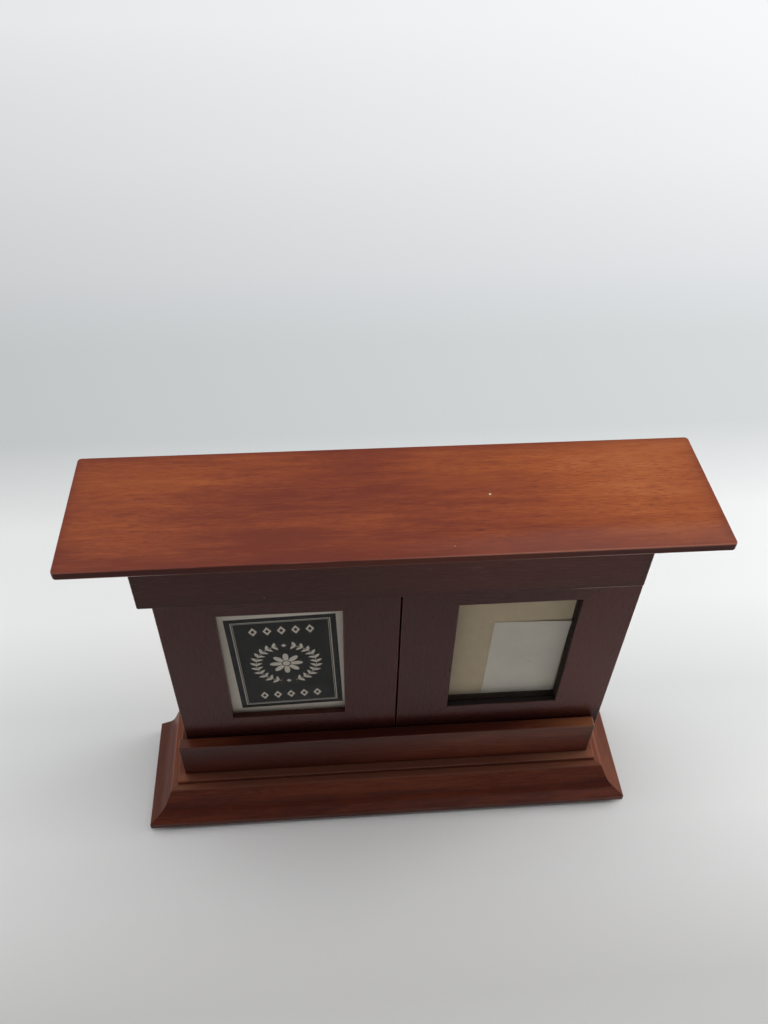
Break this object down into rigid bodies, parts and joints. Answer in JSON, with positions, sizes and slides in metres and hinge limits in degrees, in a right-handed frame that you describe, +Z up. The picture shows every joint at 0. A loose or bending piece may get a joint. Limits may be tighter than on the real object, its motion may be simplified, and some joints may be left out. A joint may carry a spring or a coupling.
{
  "type": "sliding picture frame",
  "caption": "Free-standing wooden picture frame with a shelf top, coved base and glazed doors that slide apart on a track to uncover a picture behind them.",
  "frame": {"origin": "on the table, under the middle of the outer box: midway between the ends of the top board, and midway between the base's front and the top board's rear edge", "axes": "+X to the right seen from the front, along the doors' travel; +Y from the front to the back; +Z up"},
  "size_m": [0.3858, 0.0992, 0.3015],
  "materials": {
    "mahogany": "satin",
    "dark_mahogany": "satin",
    "raw_wood": "matte",
    "pane": "gloss",
    "printed_card": "matte",
    "plain_card": "matte",
    "greyboard": "matte",
    "black_wood": "matte",
    "felt": "matte",
    "steel": "satin",
    "screw_brass": "satin"
  },
  "bodies": {
    "cabinet": {"top_board": "mahogany", "plinth_board": "mahogany", "base_moulding_front": "mahogany", "base_moulding_left": "mahogany", "base_moulding_right": "mahogany", "foot_pad_front_left": "felt", "foot_pad_front_right": "felt", "foot_pad_rear_left": "felt", "foot_pad_rear_right": "felt", "header_board": "dark_mahogany", "front_rail": "mahogany", "upper_guide": "mahogany", "lower_runner": "mahogany", "inner_stile_left": "dark_mahogany", "inner_stile_right": "dark_mahogany", "inner_rail_bottom": "dark_mahogany", "inner_rail_top": "dark_mahogany", "inner_glass": "pane", "inner_print": "plain_card", "inner_backing": "greyboard", "inner_point_1": "steel", "inner_point_2": "steel", "inner_point_3": "steel", "inner_point_4": "steel", "side_panel_left": "mahogany", "side_panel_right": "mahogany", "back_panel": "raw_wood", "back_screw_1": "screw_brass", "back_screw_2": "screw_brass", "back_screw_3": "screw_brass", "back_screw_4": "screw_brass", "back_screw_5": "screw_brass", "back_screw_6": "screw_brass"},
    "left_door": {"left_door_rail_top": "dark_mahogany", "left_door_rail_bottom": "dark_mahogany", "left_door_stile_left": "dark_mahogany", "left_door_stile_right": "dark_mahogany", "left_door_glass": "pane", "left_door_print": "printed_card", "left_door_filler": "greyboard", "left_door_backing": "greyboard", "left_door_point_1": "steel", "left_door_point_2": "steel", "left_door_point_3": "steel", "left_door_point_4": "steel", "left_door_guide_pin": "raw_wood"},
    "right_door": {"right_door_rail_top": "dark_mahogany", "right_door_rail_bottom": "dark_mahogany", "right_door_stile_left": "dark_mahogany", "right_door_stile_right": "dark_mahogany", "right_door_glass": "pane", "right_door_spacer": "black_wood", "right_door_slip": "plain_card", "right_door_backing": "greyboard", "right_door_point_1": "steel", "right_door_point_2": "steel", "right_door_point_3": "steel", "right_door_point_4": "steel", "right_door_guide_pin": "raw_wood"}
  },
  "joints": [
    {"name": "left_door_slide", "type": "slide", "parent": "cabinet", "child": "left_door", "axis": [-1, 0, 0], "range_m": [0, 0.1005]},
    {"name": "right_door_slide", "type": "slide", "parent": "cabinet", "child": "right_door", "axis": [1, 0, 0], "range_m": [0, 0.0905]}
  ]
}
